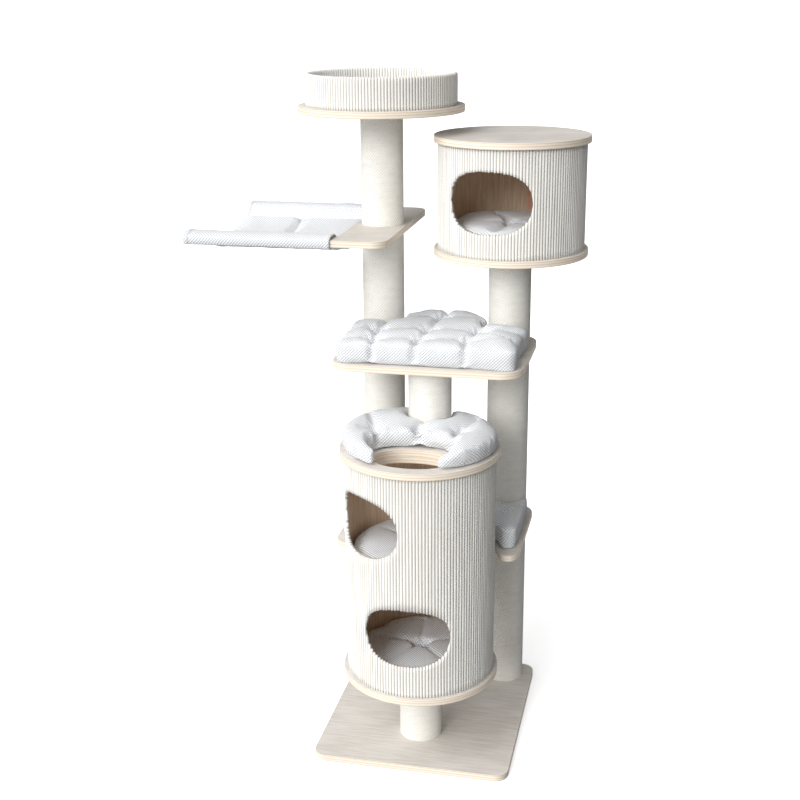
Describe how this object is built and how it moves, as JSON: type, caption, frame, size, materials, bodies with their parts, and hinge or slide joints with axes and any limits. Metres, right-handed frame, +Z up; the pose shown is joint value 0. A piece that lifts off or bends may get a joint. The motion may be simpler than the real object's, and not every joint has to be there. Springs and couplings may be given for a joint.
{
  "type": "cat tree",
  "caption": "Tall free-standing cat tree: rope-wound posts on a base board carry a cord-covered barrel den, platforms, a round cabin, a hammock and a rimmed bowl.",
  "frame": {"origin": "centre of the base board's underside, on the floor", "axes": "+Z up, -Y to the front where the barrel's lower entrance is, +X to the right as seen from the front, on the cabin's side"},
  "size_m": [1.04, 0.856, 1.791],
  "materials": {
    "ply_board": "whitewashed birch plywood with pale warm edges",
    "ply_inner": "bare brown bent plywood, matt",
    "seam_veneer": "reddish veneer strip, matt",
    "cord_cover": "close vertical off-white cords, rough",
    "post_rope": "fine off-white twisted rope, wound tight",
    "cushion_cloth": "white woven cloth with small grey checks",
    "cardboard_core": "brown spiral-wound tube, matt",
    "wood_plug": "raw softwood",
    "steel_fixings": "zinc-plated"
  },
  "bodies": {
    "stand": {"base_board": "ply_board", "panel_bolts": "steel_fixings", "bolt_washers": "steel_fixings", "post_studs": "steel_fixings", "post_plugs": "wood_plug", "barrel_bottom_board": "ply_board", "barrel_bottom_insert": "ply_inner", "barrel_wall": "ply_inner", "barrel_cord_cover": "cord_cover", "barrel_mid_floor": "ply_inner", "barrel_top_insert": "ply_board", "barrel_top_board": "ply_board", "barrel_wall_screws": "steel_fixings", "barrel_seam_strips": "seam_veneer", "barrel_lower_cushion": "cushion_cloth", "barrel_upper_cushion": "cushion_cloth", "lower_platform": "ply_board", "upper_platform": "ply_board", "front_post_core": "cardboard_core", "front_post_rope": "post_rope", "middle_post_core": "cardboard_core", "middle_post_rope": "post_rope", "left_post_1_core": "cardboard_core", "left_post_1_rope": "post_rope", "left_post_2_core": "cardboard_core", "left_post_2_rope": "post_rope", "left_post_3_core": "cardboard_core", "left_post_3_rope": "post_rope", "left_post_4_core": "cardboard_core", "left_post_4_rope": "post_rope", "right_post_1_core": "cardboard_core", "right_post_1_rope": "post_rope", "right_post_2_core": "cardboard_core", "right_post_2_rope": "post_rope", "right_post_3_core": "cardboard_core", "right_post_3_rope": "post_rope"},
    "cabin": {"cabin_bottom_board": "ply_board", "cabin_bottom_insert": "ply_inner", "cabin_wall": "ply_inner", "cabin_cord_cover": "cord_cover", "cabin_top_insert": "ply_inner", "cabin_top_board": "ply_board", "cabin_top_screw": "steel_fixings", "cabin_wall_screws": "steel_fixings", "cabin_seam_strip": "seam_veneer", "cabin_cushion": "cushion_cloth"},
    "bowl": {"bowl_board": "ply_board", "bowl_insert": "ply_inner", "bowl_wall": "ply_inner", "bowl_cord_cover": "cord_cover", "bowl_wall_screws": "steel_fixings"},
    "bowl_pad": {"bowl_cushion": "cushion_cloth"},
    "hammock": {"hammock_frame": "ply_board"},
    "sling": {"hammock_sling": "cushion_cloth", "hammock_pad": "cushion_cloth"},
    "barrel_top_pad": {"barrel_top_cushion": "cushion_cloth"},
    "lower_pad": {"lower_platform_cushion": "cushion_cloth"},
    "upper_pad": {"upper_platform_cushion": "cushion_cloth"}
  },
  "joints": [
    {"name": "cabin_swivel", "type": "hinge", "parent": "stand", "child": "cabin", "pos_m": [0.179, 0.24, 1.311], "axis": [0, 0, 1], "range_deg": [-90, 90]},
    {"name": "bowl_swivel", "type": "hinge", "parent": "stand", "child": "bowl", "pos_m": [-0.179, 0.24, 1.687], "axis": [0, 0, 1], "range_deg": [-90, 90]},
    {"name": "hammock_swivel", "type": "hinge", "parent": "stand", "child": "hammock", "pos_m": [-0.179, 0.24, 1.364], "axis": [0, 0, 1], "range_deg": [-20, 20]},
    {"name": "sling_slide", "type": "slide", "parent": "hammock", "child": "sling", "axis": [-1, 0, 0], "range_m": [0, 0.4]},
    {"name": "barrel_top_cushion_lift", "type": "slide", "parent": "stand", "child": "barrel_top_pad", "axis": [0, 0, 1], "range_m": [0, 0.1]},
    {"name": "lower_cushion_lift", "type": "slide", "parent": "stand", "child": "lower_pad", "axis": [0, 0, 1], "range_m": [0, 0.12]},
    {"name": "upper_cushion_lift", "type": "slide", "parent": "stand", "child": "upper_pad", "axis": [0, 0, 1], "range_m": [0, 0.12]},
    {"name": "bowl_cushion_lift", "type": "slide", "parent": "bowl", "child": "bowl_pad", "axis": [0, 0, 1], "range_m": [0, 0.15]}
  ]
}
